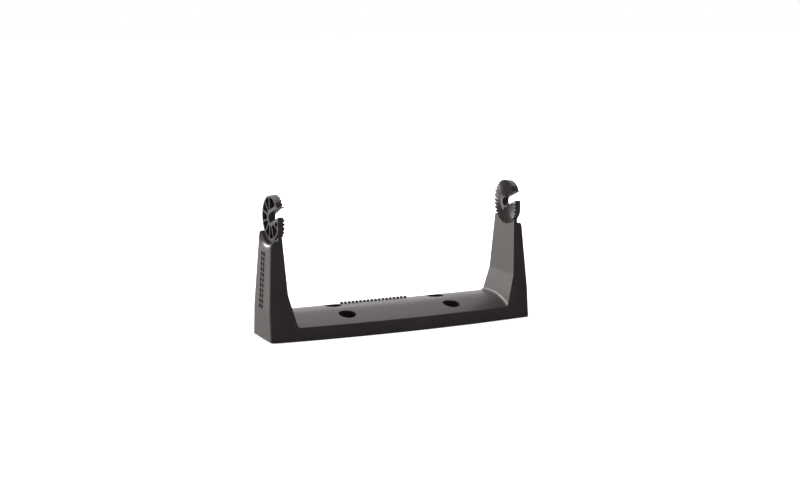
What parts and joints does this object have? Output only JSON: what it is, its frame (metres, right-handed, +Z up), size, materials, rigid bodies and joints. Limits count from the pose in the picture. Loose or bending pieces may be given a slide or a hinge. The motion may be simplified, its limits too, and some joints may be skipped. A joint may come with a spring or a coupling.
{
  "type": "gimbal bracket",
  "caption": "Screw-down gimbal bracket for a chartplotter: a bowed, crowned base with tapering upright arms that end in hooked, toothed clamp heads.",
  "frame": {"origin": "middle of the flat underside, where the base meets the surface it is screwed to", "axes": "+Z up; +X to the right along the base; the front, which the slots open towards, is -Y"},
  "size_m": [0.2107, 0.0526, 0.1036],
  "materials": {
    "bracket_plastic": "fine moulded grain, slight sheen",
    "tooth_plastic": "as moulded, crests slightly polished by use",
    "mark_plastic": "smooth raised bars"
  },
  "bodies": {
    "root": {"base_shell": "bracket_plastic", "deck_marks": "mark_plastic", "left_arm": "bracket_plastic", "left_arm_marks": "mark_plastic", "left_head": "bracket_plastic", "left_tooth_ring": "tooth_plastic", "right_arm": "bracket_plastic", "right_head": "bracket_plastic", "right_tooth_ring": "tooth_plastic", "screw_bosses": "bracket_plastic", "underside_ribs": "bracket_plastic"}
  },
  "joints": []
}
